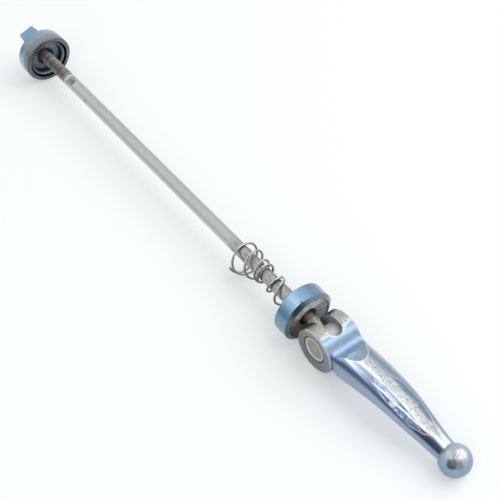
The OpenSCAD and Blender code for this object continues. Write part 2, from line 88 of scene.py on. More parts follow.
class Look:
    """A metal's material as nodes. Its lengths are millimetres from AXIS, its angles degrees."""

    def __init__(self, name):
        self.material = bpy.data.materials.new(name)
        self.material.use_nodes = True
        self.tree = self.material.node_tree
        self.shader = self.tree.nodes["Principled BSDF"]
        self.coords = self.tree.nodes.new("ShaderNodeTexCoord")
        shifted = self.vector("SUBTRACT", self.coords.outputs["Object"],
                              tuple(c * MM for c in AXIS))
        self.place = self.vector("SCALE", shifted, 1 / MM)
        self.x, self.y, self.z = self.split(self.place)
        self.normal_x, self.normal_y, self.normal_z = self.split(self.coords.outputs["Normal"])

    def put(self, value, socket):
        """Links an output to the socket, or sets the socket to a plain value."""
        if isinstance(value, bpy.types.NodeSocket):
            self.tree.links.new(value, socket)
        else:
            socket.default_value = value

    def vector(self, operation, a, b):
        node = self.tree.nodes.new("ShaderNodeVectorMath")
        node.operation = operation
        self.put(a, node.inputs[0])
        self.put(b, node.inputs["Scale" if operation == "SCALE" else 1])
        return node.outputs[0]

    def split(self, vector):
        node = self.tree.nodes.new("ShaderNodeSeparateXYZ")
        self.put(vector, node.inputs[0])
        return tuple(node.outputs)

    def math(self, operation, a, b=0.0, c=0.0):
        node = self.tree.nodes.new("ShaderNodeMath")
        node.operation = operation
        for value, socket in zip((a, b, c), node.inputs):
            self.put(value, socket)
        return node.outputs[0]

    def plus(self, a, b):
        return self.math("ADD", a, b)

    def minus(self, a, b):
        return self.math("SUBTRACT", a, b)

    def times(self, *factors):
        total = factors[0]
        for factor in factors[1:]:
            total = self.math("MULTIPLY", total, factor)
        return total

    def angle(self, sine, cosine):
        """The direction of a point in degrees, from -180 to 180."""
        return self.times(self.math("ARCTAN2", sine, cosine), 180 / math.pi)

    def length(self, a, b):
        return self.math("SQRT", self.plus(self.times(a, a), self.times(b, b)))

    def round_rod(self):
        """The angle round the rod, 0 on top and 90 on the near side, and the distance from it."""
        return self.angle(self.times(self.y, -1.0), self.z), self.length(self.y, self.z)

    def step(self, value, low, high):
        """A soft step: 0 at low and 1 at high, either way round."""
        node = self.tree.nodes.new("ShaderNodeMapRange")
        node.interpolation_type = "SMOOTHSTEP"
        self.put(value, node.inputs["Value"])
        node.inputs["From Min"].default_value = low
        node.inputs["From Max"].default_value = high
        return node.outputs[0]

    def band(self, value, centre, half, soft):
        """1 within half of the centre, falling to 0 over the soft width."""
        return self.step(self.math("ABSOLUTE", self.minus(value, centre)), half + soft, half)

    def near(self, point, radius, soft):
        """1 within a radius of a point."""
        away = self.tree.nodes.new("ShaderNodeVectorMath")
        away.operation = "DISTANCE"
        self.put(self.place, away.inputs[0])
        away.inputs[1].default_value = point
        return self.step(away.outputs["Value"], radius + soft, radius)

    def noise(self, size, detail=3.0, rough=0.55, seed=0.0, vector=None):
        """Noise whose features are about as large as size, a number or one number per axis."""
        sizes = size if isinstance(size, tuple) else (size, size, size)
        scaled = self.vector("DIVIDE", vector or self.place, sizes)
        node = self.tree.nodes.new("ShaderNodeTexNoise")
        self.put(self.vector("ADD", scaled, (seed, seed * 1.7, seed * 0.3)), node.inputs["Vector"])
        node.inputs["Scale"].default_value = 1
        node.inputs["Detail"].default_value = detail
        node.inputs["Roughness"].default_value = rough
        return node.outputs["Fac"]

    def profile(self, value, stops):
        """A colour for each value, from (value, colour) stops."""
        low, high = stops[0][0], stops[-1][0]
        node = self.tree.nodes.new("ShaderNodeValToRGB")
        span = self.math("DIVIDE", self.minus(value, low), high - low)
        self.put(span, node.inputs[0])
        ramp = node.color_ramp
        ramp.elements[0].color = stops[0][1]
        ramp.elements[1].color = stops[-1][1]
        for place, colour in stops[1:-1]:
            ramp.elements.new((place - low) / (high - low)).color = colour
        return node.outputs[0]

    def level(self, value, stops):
        """A number for each value, from (value, number) stops, each number from 0 to 1."""
        return self.profile(value, [(place, (n, n, n, 1)) for place, n in stops])

    def mix(self, share, a, b):
        node = self.tree.nodes.new("ShaderNodeMix")
        node.data_type = "RGBA"
        self.put(share, node.inputs[0])
        self.put(a, node.inputs[6])
        self.put(b, node.inputs[7])
        return node.outputs[2]

    def shade(self, colour, factor):
        """A colour made lighter or darker by a factor."""
        if isinstance(colour, tuple):
            colour = colour[:3]
        return self.vector("SCALE", colour, factor)

    def wobble(self, fac, amount):
        """A factor round 1 from a noise round 0.5."""
        return self.plus(self.times(self.minus(fac, 0.5), 2 * amount), 1.0)

    def finish(self, colour, roughness, metal=1.0, height=None, depth=0.05):
        """The finished material; depth is the bump's depth in millimetres for a height of 1."""
        self.put(colour, self.shader.inputs["Base Color"])
        self.put(roughness, self.shader.inputs["Roughness"])
        self.put(metal, self.shader.inputs["Metallic"])
        if height is not None:
            bump = self.tree.nodes.new("ShaderNodeBump")
            bump.inputs["Strength"].default_value = 1
            bump.inputs["Distance"].default_value = depth * MM
            self.put(height, bump.inputs["Height"])
            self.tree.links.new(bump.outputs[0], self.shader.inputs["Normal"])
        return self.material


def rod_steel():
    """Ground steel with a painted reflection line along it, stained by the springs, and a worn
    brown thread with painted shade in its roots.
    """
    look = Look("rod_steel")
    around, radius = look.round_rod()
    # painted reflections round the shank: a dark line near 57 degrees between lighter bands
    plain = look.profile(around, [(-180, grey(176)), (-60, grey(190)), (-30, grey(172)),
                                  (-8, grey(176)), (12, grey(188)), (42, grey(186)),
                                  (50, grey(178)), (57, grey(156)), (64, grey(178)),
                                  (84, grey(192)), (110, grey(198)), (180, grey(176))])
    fine = look.noise((9.0, 0.16, 0.16), 3)
    scuffs = look.noise((2.2, 0.9, 0.9), 4, 0.6, 3.1)
    plain = look.shade(plain, look.times(look.wobble(fine, 0.10), look.wobble(scuffs, 0.10)))
    sprung = look.band(look.x, -18.5, 14.5, 5.0)
    plain = look.mix(look.times(sprung, 0.5), plain, srgb(158, 156, 154))
    stain = look.times(look.step(look.noise((1.7, 1.1, 1.1), 4, 0.6, 7.7), 0.46, 0.62), sprung)
    plain = look.mix(look.times(stain, 0.55), plain, srgb(118, 114, 98))
    dull = look.times(look.band(look.x, -12.0, 9.0, 4.0), look.band(around, -34, 16, 16))
    plain = look.mix(look.times(dull, 0.45), plain, srgb(112, 118, 112))
    dark_spots = look.times(look.step(look.noise((0.9, 0.7, 0.7), 3, 0.6, 1.3), 0.62, 0.70), sprung)
    plain = look.mix(look.times(dark_spots, 0.6), plain, srgb(84, 84, 80))
    speck = look.near((-129.8, -2.4, 0.6), 0.35, 0.45)
    plain = look.mix(look.times(speck, 0.7), plain, srgb(90, 92, 92))
    inner = look.step(look.x, 1.0, 4.0)
    plain = look.mix(inner, plain, srgb(188, 186, 184))
    grime = look.times(inner, look.step(look.noise(1.3, 4, 0.65, 5.2), 0.42, 0.66))
    plain = look.mix(look.times(grime, 0.6), plain, srgb(120, 114, 110))
    # a dark ring at x 7.6 is painted shade where the rod leaves the cap's hole
    plain = look.mix(look.times(look.band(look.x, 7.6, 0.6, 0.7), 0.6), plain, srgb(84, 80, 78))
    smudge = look.times(look.near((-141.3, -1.1, 2.25), 0.9, 1.1),
                        look.step(look.noise(1.6, 3, 0.6, 2.2), 0.28, 0.5))
    groove = look.times(look.band(look.x, -143.1, 0.2, 0.5), look.band(around, 30, 50, 40), 0.5)
    plain = look.mix(groove, plain, srgb(98, 104, 104))
    plain = look.mix(look.times(smudge, 0.8), plain, srgb(82, 86, 85))
    # the thread's colour round the rod is painted light and shade, darkest from 32 to 48 degrees
    thread = look.profile(around, [(-180, srgb(118, 116, 113)), (-60, srgb(150, 150, 151)),
                                   (-10, srgb(140, 140, 140)), (14, srgb(130, 129, 129)),
                                   (32, srgb(102, 101, 98)), (48, srgb(96, 95, 93)),
                                   (66, srgb(126, 127, 127)), (110, srgb(146, 149, 150)),
                                   (180, srgb(110, 108, 104))])
    tint = look.noise((2.2, 1.6, 1.6), 3, 0.6, 15.0)
    thread = look.mix(look.times(look.step(tint, 0.50, 0.62), 0.45), thread, srgb(126, 112, 120))
    thread = look.mix(look.times(look.step(tint, 0.48, 0.36), 0.45), thread, srgb(108, 120, 116))
    rust = look.times(look.band(look.x, -147.6, 1.9, 2.6),
                      look.step(look.noise((1.2, 0.8, 0.8), 4, 0.6, 9.1), 0.40, 0.62))
    thread = look.mix(look.times(rust, 0.5), thread, srgb(128, 106, 92))
    thread = look.shade(thread, look.wobble(look.noise((0.7, 1.4, 1.4), 4, 0.65, 4.4), 0.30))
    turns = look.step(look.noise((0.95, 9.0, 9.0), 2, 0.5, 17.0), 0.40, 0.60)
    thread = look.shade(thread, look.plus(look.times(turns, 0.55), 0.72))
    # painted shade in the thread's roots, with the crests made lighter
    root = look.step(radius, THREAD_R - 0.03, THREAD_R - THREAD_DEPTH)
    thread = look.mix(look.times(root, 0.85), look.shade(thread, 1.22), srgb(40, 37, 35))
    threaded = look.step(look.x, NECK_END_X - 0.25, THREAD_END_X - 0.1)
    colour = look.mix(threaded, plain, thread)
    clean = look.times(look.band(look.x, -144.5, 0.55, 0.5), look.band(around, 12, 34, 30),
                       look.step(look.noise((1.2, 1.0, 1.0), 3, 0.5, 6.0), 0.2, 0.45))
    colour = look.mix(look.times(clean, 0.85), colour, srgb(220, 213, 198))
    roughness = look.plus(look.times(threaded, 0.22), look.plus(look.times(stain, 0.15), 0.30))
    metal = look.minus(1.0, look.times(clean, 0.6))
    height = look.plus(look.times(fine, look.minus(1.0, threaded)), scuffs)
    return look.finish(colour, roughness, metal, height, 0.012)


def spring_wire():
    """Drawn grey wire with painted light on top and painted shade underneath, with small dull
    patches.
    """
    look = Look("spring_wire")
    colour = look.profile(look.normal_z, [(-1, grey(96, 1)), (-0.2, grey(118, 1)),
                                          (0.35, grey(142, 0)), (0.75, grey(172, -2)),
                                          (1, grey(188, -4))])
    dull = look.step(look.noise(0.8, 4, 0.6), 0.46, 0.64)
    colour = look.mix(look.times(dull, 0.3), colour, srgb(100, 99, 93))
    drawn = look.noise((0.5, 0.2, 0.2), 3, 0.5, 2.0)
    return look.finish(look.shade(colour, look.wobble(drawn, 0.10)),
                       look.plus(look.times(dull, 0.2), 0.28), 1.0, drawn, 0.01)


def pivot_steel():
    """The barrel's steel: light rings on its ends with painted shade at their outer edge, painted
    shade under the body, matt in the slot.
    """
    look = Look("barrel_steel")
    radius = look.length(look.minus(look.x, PIVOT_X), look.z)
    # painted shade at the ends' outer edge, where the barrel meets the lever's bore
    ends = look.profile(radius, [(0, srgb(176, 176, 168)), (1.2, srgb(166, 166, 158)),
                                 (2.2, srgb(150, 150, 143)), (3.2, srgb(164, 163, 157)),
                                 (3.65, srgb(150, 149, 144)), (3.9, srgb(200, 199, 195)),
                                 (4.5, srgb(186, 186, 182)), (4.8, grey(120, 2)), (5, grey(90, 2))])
    rough = look.noise(0.9, 5, 0.65, 4.0)
    in_slot = look.band(look.y, 0.0, 3.2, 0.4)
    # painted shade: the body darker where it faces down
    body = look.profile(look.normal_z, [(-1, grey(120, 2)), (0, grey(196, 1)),
                                        (0.7, grey(204, 0)), (1, grey(204, 0))])
    colour = look.mix(in_slot, ends, body)
    colour = look.shade(colour, look.wobble(rough, 0.24))
    speck = look.step(look.noise(0.5, 4, 0.6, 8.0), 0.60, 0.68)
    colour = look.mix(look.times(speck, 0.35), colour, srgb(118, 112, 104))
    return look.finish(colour, 0.45, look.minus(1.0, look.times(in_slot, 0.75)), rough, 0.02)


def cap_blue():
    """The cap's blue film over fine turning marks, with painted reflections and a painted highlight
    line, its chamfer with painted navy reflections, a grey lip with painted shade below, painted
    shade inside, and worn teeth.
    """
    look = Look("cap_blue")
    around, radius = look.round_rod()
    # painted reflections round the cap: lit strips near 20 degrees, dark near 60
    film = look.profile(around, [
        (-180, srgb(120, 146, 166)), (-66, srgb(206, 216, 222)), (-50, srgb(168, 182, 193)),
        (-34, srgb(130, 152, 169)), (-16, srgb(113, 136, 160)), (0, srgb(122, 149, 178)),
        (10, srgb(138, 173, 203)), (18, srgb(164, 199, 225)), (23, srgb(170, 205, 229)),
        (30, srgb(160, 193, 216)), (41, srgb(133, 168, 188)), (51, srgb(103, 134, 155)),
        (60, srgb(86, 118, 136)), (68, srgb(112, 143, 163)), (80, srgb(124, 155, 175)),
        (92, srgb(137, 160, 176)), (115, srgb(152, 170, 182)), (180, srgb(120, 146, 166))])
    marks = look.noise((0.13, 60.0, 60.0), 3, 0.6)
    film = look.shade(film, look.wobble(marks, 0.09))
    # a painted highlight line along the cap near 27 degrees
    highlight_line = look.times(look.band(around, 26.6, 0.5, 1.0), look.band(look.x, 3.1, 2.6, 0.5))
    film = look.mix(look.times(highlight_line, 0.75), film, srgb(196, 224, 240))
    # painted reflections round the chamfer, dark navy from 14 to 60 degrees
    chamfer = look.profile(around, [
        (-180, srgb(100, 116, 128)), (-60, srgb(140, 150, 158)), (-30, srgb(113, 130, 141)),
        (0, srgb(116, 134, 149)), (14, srgb(80, 96, 114)), (26, srgb(44, 60, 84)),
        (44, srgb(44, 58, 80)), (60, srgb(90, 108, 118)), (90, srgb(90, 103, 114)),
        (135, srgb(78, 85, 88)), (180, srgb(100, 116, 128))])
    # the painted dark reflection reaches past the chamfer onto the side near 30 degrees
    dark_reflection_reach = look.times(look.band(around, 30, 12, 10), 0.34)
    colour = look.mix(look.step(look.plus(look.x, dark_reflection_reach), 5.84, 6.04), film, chamfer)
    # painted shade: the grey lip darker towards its underside
    lip = look.profile(around, [
        (-180, grey(120, 2)), (-45, grey(138, 6)), (-10, grey(152, 6)), (12, grey(136, 5)),
        (30, grey(122, 4)), (60, grey(126, 0)), (90, grey(108, -3)), (130, grey(90, -3)),
        (180, grey(110, 2))])
    colour = look.mix(look.times(look.step(look.x, 6.6, 6.9), look.step(radius, 9.0, 8.75)),
                      colour, lip)
    # painted shade inside the cap
    inside = look.times(look.step(look.x, 0.3, 1.2), look.step(radius, 8.35, 8.2))
    colour = look.mix(inside, colour, srgb(62, 70, 78))
    serrated = look.step(look.x, 0.55, 0.1)
    worn = look.times(serrated, look.step(look.noise(0.7, 3, 0.6, 5.0), 0.35, 0.6))
    colour = look.mix(look.times(worn, 0.6), colour, srgb(142, 148, 150))
    blotch = look.wobble(look.noise(3.0, 3, 0.5, 1.7), 0.05)
    colour = look.shade(colour, blotch)
    pit = look.near((5.30, -3.00, 9.70), 0.24, 0.14)
    specks = look.step(look.noise(0.55, 3, 0.6, 11.0), 0.69, 0.73)
    hurt = look.math("MAXIMUM", pit, look.times(specks, 0.45))
    colour = look.mix(hurt, colour, srgb(48, 56, 78))
    height = look.minus(marks, look.times(hurt, 2.0))
    return look.finish(colour, look.plus(look.times(hurt, 0.3), 0.34), 1.0, height, 0.012)


def dish_bronze():
    """The dish: turned bronze with streaks, tan where it is worn, with painted light on its upper
    side and painted shade on its lower side.
    """
    look = Look("dish_bronze")
    around, radius = look.round_rod()
    # painted light and shade round the dish: light on top, dark on its lower side under the head
    colour = look.profile(around, [
        (-180, srgb(100, 96, 92)), (-100, srgb(138, 134, 130)), (-70, srgb(132, 131, 127)),
        (-50, srgb(160, 158, 153)), (-28, srgb(196, 194, 190)), (-8, srgb(204, 201, 196)),
        (14, srgb(190, 190, 184)), (34, srgb(192, 190, 184)), (54, srgb(186, 182, 175)),
        (66, srgb(132, 126, 116)), (86, srgb(92, 84, 68)), (112, srgb(66, 57, 41)),
        (140, srgb(74, 68, 60)), (180, srgb(92, 89, 86))])
    rings = look.level(radius, [(3.5, 0.34), (3.9, 0.50), (4.4, 0.46), (4.9, 0.62), (5.5, 0.60),
                                (6.0, 0.66), (6.5, 0.58), (6.9, 0.46), (7.3, 0.52), (7.7, 0.42),
                                (8.2, 0.46)])
    colour = look.shade(colour, look.plus(look.times(rings, 1.4), 0.50))
    direction = look.vector("SCALE", look.place, look.math("DIVIDE", 1.0, radius))
    streaks = look.noise((0.9, 0.16, 0.16), 3, 0.6, 5.0, direction)
    colour = look.shade(colour, look.plus(look.times(look.step(streaks, 0.34, 0.66), 0.55), 0.86))
    tan = look.times(look.band(radius, 5.4, 0.8, 0.5), look.band(around, 95, 40, 25),
                     look.step(look.noise(1.4, 3, 0.6, 3.0), 0.42, 0.62))
    colour = look.mix(look.times(tan, 0.6), colour, srgb(120, 102, 70))
    turning = look.math("SINE", look.times(radius, 19.0))
    colour = look.shade(colour, look.plus(look.times(turning, 0.07), 1.0))
    patina = look.noise((1.5, 1.0, 1.0), 4, 0.65, 9.0)
    colour = look.shade(colour, look.wobble(patina, 0.45))
    return look.finish(colour, look.plus(look.times(patina, 0.25), 0.36), 0.25, turning, 0.015)


def nut_blue():
    """The nut's blue film: satin outside, with painted dark reflections and faint purple in its
    recess, painted reflections round its sides, and painted shade in its groove, on its recess wall
    and in its bore.
    """
    look = Look("nut_blue")
    around, radius = look.round_rod()
    behind = look.minus(NUT_FACE_X, look.x)
    # painted reflections round the side and the back
    side = look.profile(around, [
        (-180, srgb(120, 142, 158)), (-62, srgb(206, 212, 212)), (-40, srgb(176, 188, 194)),
        (-20, srgb(150, 170, 184)), (0, srgb(146, 166, 180)), (28, srgb(138, 158, 172)),
        (50, srgb(130, 146, 156)), (60, srgb(134, 150, 160)), (84, srgb(174, 189, 197)),
        (105, srgb(204, 212, 214)), (180, srgb(120, 142, 158))])
    back = look.profile(around, [
        (-180, srgb(116, 144, 168)), (-62, srgb(206, 218, 226)), (-36, srgb(182, 204, 220)),
        (-14, srgb(150, 180, 206)), (4, srgb(138, 168, 196)), (26, srgb(132, 160, 186)),
        (42, srgb(132, 156, 176)), (55, srgb(106, 124, 148)), (66, srgb(128, 150, 168)),
        (84, srgb(178, 200, 212)), (105, srgb(204, 214, 219)), (180, srgb(116, 144, 168))])
    colour = look.mix(look.step(behind, 4.6, 6.6), side, back)
    # painted light and shade on the wing by which way its faces turn
    wing = look.profile(look.normal_x, [(-1, srgb(104, 132, 158)), (-0.3, srgb(124, 150, 174)),
                                        (0.3, srgb(136, 165, 190)), (1, srgb(142, 170, 194))])
    colour = look.mix(look.step(behind, 8.6, 9.2), colour, wing)
    # painted reflections round the front rim
    rim = look.profile(around, [
        (-180, srgb(126, 142, 150)), (-140, srgb(118, 130, 136)), (-105, srgb(136, 150, 160)),
        (-80, srgb(112, 130, 142)), (-60, srgb(86, 104, 114)), (-30, srgb(100, 118, 127)),
        (0, srgb(104, 120, 128)), (40, srgb(84, 92, 97)), (90, srgb(86, 102, 110)),
        (130, srgb(104, 122, 130)), (180, srgb(126, 142, 150))])
    front = look.step(behind, 3.45, 3.3)
    colour = look.mix(front, colour, rim)
    # painted shade in the groove beside the ring
    groove = look.times(front, look.step(radius, 7.72, 7.86))
    colour = look.mix(groove, colour, srgb(34, 40, 44))
    # painted shade on the recess wall
    wall = look.times(front, look.step(radius, 7.0, 6.86), look.step(behind, 1.15, 1.5))
    colour = look.mix(wall, colour, srgb(50, 72, 88))
    # painted reflections and shade round the recess floor
    floor = look.profile(around, [
        (-180, srgb(74, 88, 92)), (-120, srgb(88, 98, 104)), (-80, srgb(94, 118, 133)),
        (-45, srgb(108, 130, 142)), (-10, srgb(126, 138, 142)), (30, srgb(140, 144, 146)),
        (66, srgb(126, 126, 134)), (100, srgb(92, 112, 116)), (140, srgb(92, 96, 106)),
        (180, srgb(78, 92, 96))])
    tints = look.step(look.noise(2.4, 3, 0.55, 2.5), 0.40, 0.62)
    floor = look.mix(look.times(tints, 0.35), floor, srgb(104, 108, 120))
    rusty = look.step(look.noise(1.5, 3, 0.6, 8.2), 0.56, 0.70)
    floor = look.mix(look.times(rusty, 0.5), floor, srgb(128, 112, 100))
    colour = look.mix(look.times(front, look.step(radius, 6.15, 5.95)), colour, floor)
    grimy = look.times(front, look.step(radius, 7.6, 7.4),
                       look.step(look.noise(0.9, 4, 0.65, 19.0), 0.50, 0.64))
    colour = look.mix(look.times(grimy, 0.35), colour, srgb(60, 66, 70))
    stained = look.times(front, look.step(radius, 4.6, 3.7))
    colour = look.mix(look.times(stained, 0.6), colour, srgb(92, 80, 74))
    # painted shade in the bore
    bored = look.times(look.step(radius, 3.62, 3.5), look.step(behind, 8.6, 8.4))
    colour = look.mix(bored, colour, srgb(52, 48, 46))
    marks = look.noise((0.16, 40.0, 40.0), 3, 0.6)
    scuffs = look.noise(0.9, 4, 0.65, 6.1)
    colour = look.shade(colour, look.times(look.wobble(marks, 0.05), look.wobble(scuffs, 0.10)))
    rubbed = look.times(look.step(look.noise(0.8, 4, 0.6, 12.0), 0.58, 0.70),
                        look.step(behind, 3.3, 3.5))
    colour = look.mix(look.times(rubbed, 0.30), colour, srgb(150, 156, 156))
    return look.finish(colour, look.plus(look.times(scuffs, 0.15), 0.32), 1.0, scuffs, 0.012)


def ring_steel():
    """The serrated ring: steel with its film worn through, grey-brown, with painted reflections
    round it and painted shade between the teeth and inside.
    """
    look = Look("ring_steel")
    around, radius = look.round_rod()
    behind = look.minus(NUT_FACE_X, look.x)
    # painted reflections round the outside and on the face
    outside = look.profile(around, [
        (-180, srgb(112, 118, 118)), (-60, srgb(146, 152, 152)), (-25, srgb(146, 152, 152)),
        (0, srgb(144, 149, 147)), (26, srgb(140, 145, 143)), (44, srgb(126, 133, 129)),
        (57, srgb(116, 120, 117)), (72, srgb(130, 136, 136)), (90, srgb(140, 150, 153)),
        (115, srgb(146, 156, 160)), (180, srgb(112, 118, 118))])
    face = look.profile(around, [
        (-180, srgb(116, 118, 118)), (-150, srgb(108, 108, 106)), (-118, srgb(142, 138, 130)),
        (-90, srgb(128, 124, 118)), (-55, srgb(110, 113, 115)), (-10, srgb(122, 131, 133)),
        (30, srgb(106, 114, 117)), (70, srgb(104, 110, 112)), (120, srgb(106, 112, 113)),
        (180, srgb(116, 118, 118))])
    colour = look.mix(look.step(behind, 0.75, 0.1), outside, face)
    blue = look.times(look.step(behind, 2.3, 3.3),
                      look.step(look.noise(1.6, 3, 0.6, 3.3), 0.3, 0.6))
    colour = look.mix(look.times(blue, 0.6), colour, srgb(132, 152, 166))
    brown = look.times(look.step(look.noise((1.2, 1.0, 1.0), 4, 0.6, 1.2), 0.46, 0.66),
                       look.step(behind, 3.4, 1.2))
    colour = look.mix(look.times(brown, 0.45), colour, srgb(124, 116, 102))
    # painted shade between the teeth
    notch = look.times(look.step(behind, 0.12, 0.42), look.step(behind, 0.62, 0.5),
                       look.step(look.normal_x, 0.95, 0.8))
    colour = look.mix(look.times(notch, 0.6), colour, srgb(52, 54, 54))
    # painted shade inside the ring
    inner = look.step(radius, 8.5, 8.4)
    colour = look.mix(inner, colour, srgb(58, 62, 64))
    grain = look.noise(0.35, 4, 0.7, 2.0)
    patches = look.noise(1.3, 4, 0.6, 14.0)
    colour = look.shade(colour, look.times(look.wobble(grain, 0.18), look.wobble(patches, 0.22)))
    return look.finish(colour, look.plus(look.times(grain, 0.2), 0.34), 1.0, grain, 0.02)


def lever_chrome():
    """Blue-tinted plating on a forging: painted reflections along the arm with dark bands, painted
    highlights and shade, worn white and pitted.
    """
    look = Look("lever_chrome")
    out = look.minus(look.x, PIVOT_X)
    along = look.math("DIVIDE", out, ARM_LEN)
    rise = look.math("SINE", look.times(along, math.pi))
    side = look.minus(look.y, look.times(along, ARM_SET))
    bow = look.times(rise, rise, ARM_BOW)
    middle = look.plus(look.minus(bow, look.times(along, ARM_DROP)), CAM_Z)
    up = look.minus(look.z, middle)
    wander = look.minus(look.noise((7.0, 2.0, 2.0), 2, 0.5, 3.0), 0.5)
    speckle = look.noise(0.55, 3, 0.6, 21.0)

    # the arm: painted reflections across its top and far side, then painted reflections and shade
    # on the near side from the edge downwards
    across = look.profile(look.plus(side, look.times(wander, 0.9)), [
        (-7.5, srgb(140, 160, 180)), (-5.2, srgb(146, 160, 182)), (-4.5, srgb(172, 186, 204)),
        (-3.7, srgb(204, 214, 225)), (-3.1, srgb(176, 190, 212)), (-2.4, srgb(160, 175, 201)),
        (-1.8, srgb(188, 200, 217)), (-1.2, srgb(216, 223, 230)), (-0.4, srgb(202, 207, 211)),
        (0.6, srgb(188, 192, 194)), (1.5, srgb(178, 188, 196)), (2.3, srgb(156, 171, 185)),
        (3.2, srgb(134, 152, 171)), (4.0, srgb(130, 149, 168)), (5.0, srgb(158, 172, 184)),
        (7.5, srgb(192, 202, 210))])
    below = look.profile(up, [
        (-6.5, srgb(124, 144, 162)), (-3.5, srgb(150, 168, 185)), (-1.5, srgb(157, 174, 190)),
        (0.3, srgb(152, 169, 187)), (1.6, srgb(146, 162, 184)), (3.0, srgb(133, 150, 173)),
        (6.5, srgb(150, 168, 188))])
    drawn = look.noise((1.1, 4.0, 4.0), 3, 0.6, 30.0)
    below = look.shade(below, look.wobble(drawn, 0.10))
    near_side = look.step(look.normal_y, -0.42, -0.62)
    colour = look.mix(near_side, across, below)

    # the painted dark reflection band under the leaf's edge, widening towards the ball
    centre = look.times(look.level(along, [(0.14, 0.66), (0.22, 0.61), (0.36, 0.51), (0.52, 0.41),
                                           (0.70, 0.38), (0.86, 0.44), (0.93, 0.42)]), 6.0)
    half = look.level(along, [(0.14, 0.58), (0.36, 0.60), (0.52, 0.62), (0.70, 0.72),
                              (0.86, 1.0), (0.93, 1.0)])
    off = look.math("DIVIDE", look.math("ABSOLUTE", look.minus(up, centre)), half)
    dark = look.times(look.step(off, 1.6, 0.4), look.step(side, -1.2, -2.2),
                      look.step(along, 0.965, 0.945), look.step(along, 0.125, 0.15))
    navy = look.profile(along, [(0.13, srgb(66, 76, 104)), (0.35, srgb(84, 97, 128)),
                                (0.52, srgb(70, 83, 106)), (0.70, srgb(54, 64, 84)),
                                (0.84, srgb(34, 41, 60)), (0.95, srgb(44, 53, 76))])
    colour = look.mix(look.times(dark, 0.95), colour, navy)

    # the leaf: a long oval of painted reflections with a fine rim of painted highlight, a grey far
    # border, painted dark reflection streaks on its near side and a painted highlight line beside
    # them
    oval = look.length(look.math("DIVIDE", look.minus(out, 35.0), 13.3),
                       look.math("DIVIDE", look.plus(side, 0.75), 4.55))
    top = look.step(look.normal_z, 0.6, 0.8)
    deep = look.math("MAXIMUM", look.step(out, 33.8, 35.0), look.step(side, -3.2, -3.8))
    leaf_blue = look.mix(look.step(look.noise((2.4, 0.7, 0.7), 3, 0.6, 5.1), 0.48, 0.60),
                         look.mix(deep, srgb(128, 146, 178), srgb(74, 88, 116)),
                         look.mix(deep, srgb(176, 190, 212), srgb(136, 152, 180)))
    inside = look.times(look.step(oval, 1.0, 0.96), look.step(side, -1.6, -2.2),
                        look.step(out, 47, 43))
    colour = look.mix(look.times(inside, 0.85), colour, leaf_blue)
    border = look.times(look.band(side, 2.6, 0.8, 0.5), look.step(oval, 1.0, 0.92), top)
    border_blue = look.shade(srgb(120, 139, 161), look.wobble(speckle, 0.34))
    colour = look.mix(look.times(border, 0.9), colour, border_blue)
    inwards = look.level(out, [(24, 0.0), (28, 0.12), (34, 0.36), (40, 0.72), (45, 1.0)])
    streak_off = look.minus(side, look.minus(look.times(inwards, 2.0), 4.6))
    broken = look.step(look.noise((1.9, 0.5, 0.5), 3, 0.6, 2.9), 0.42, 0.56)
    streak = look.times(look.band(streak_off, 0.0, 0.22, 0.35), look.band(out, 35.6, 8.2, 1.6), top,
                        look.step(look.band(out, 33.3, 0.8, 0.7), 1.0, 0.0), broken)
    colour = look.mix(look.times(streak, 0.8), colour, srgb(84, 98, 128))
    # a painted highlight line beside the dark streaks
    bright = look.times(look.band(streak_off, 0.85, 0.16, 0.3), look.band(out, 36, 11, 3), top)
    colour = look.mix(look.times(bright, 0.55), colour, srgb(216, 225, 235))
    patch = look.times(look.band(out, 33.3, 0.8, 0.6), look.band(side, -3.8, 0.8, 0.5))
    colour = look.mix(look.times(patch, 0.6), colour, srgb(176, 171, 173))
    # the leaf's rim is a painted highlight
    rim = look.times(look.band(oval, 1.0, 0.014, 0.045), top, look.step(out, 22, 28))
    rim_colour = look.mix(look.step(side, -1.0, -3.0), srgb(196, 203, 207), srgb(172, 169, 168))
    colour = look.mix(look.times(rim, 0.6), colour, rim_colour)

    # the crest of the arm: painted highlight lines, a white one behind the scoop, and white and
    # lilac ones by the ball
    behind_scoop = look.times(look.band(side, -1.15, 0.35, 0.4), look.band(out, 18.5, 5.0, 3.0))
    by_ball = look.times(look.band(side, -0.95, 0.32, 0.35), look.band(out, 51.0, 4.0, 2.0))
    colour = look.mix(look.times(look.plus(behind_scoop, by_ball), 0.85, top), colour,
                      srgb(240, 243, 247))
    lilac = look.times(look.band(side, 0.35, 0.3, 0.4), look.band(out, 51.0, 3.6, 2.0), top)
    colour = look.mix(look.times(lilac, 0.7), colour, srgb(150, 163, 200))

    # the scoop behind the head, with painted shade where its colour lies on the crest, its tongue
    # outlined by a painted highlight line
    tongue_end = look.minus(15.3, look.times(look.minus(side, 0.5), look.minus(side, 0.5), 0.19))
    past = look.minus(out, tongue_end)
    round_head = look.angle(look.minus(look.z, CAM_Z), look.times(out, -1.0))
    from_cam = look.length(out, look.minus(look.z, CAM_Z))
    in_scoop = look.times(look.step(past, 0.10, -0.10), look.step(look.normal_z, 0.45, 0.7),
                          look.step(round_head, 141, 146))
    scoop = look.profile(out, [(7.2, srgb(142, 165, 192)), (8.8, srgb(132, 156, 182)),
                               (10.5, srgb(130, 154, 178)), (13.0, srgb(132, 155, 177)),
                               (15.4, srgb(138, 158, 179))])
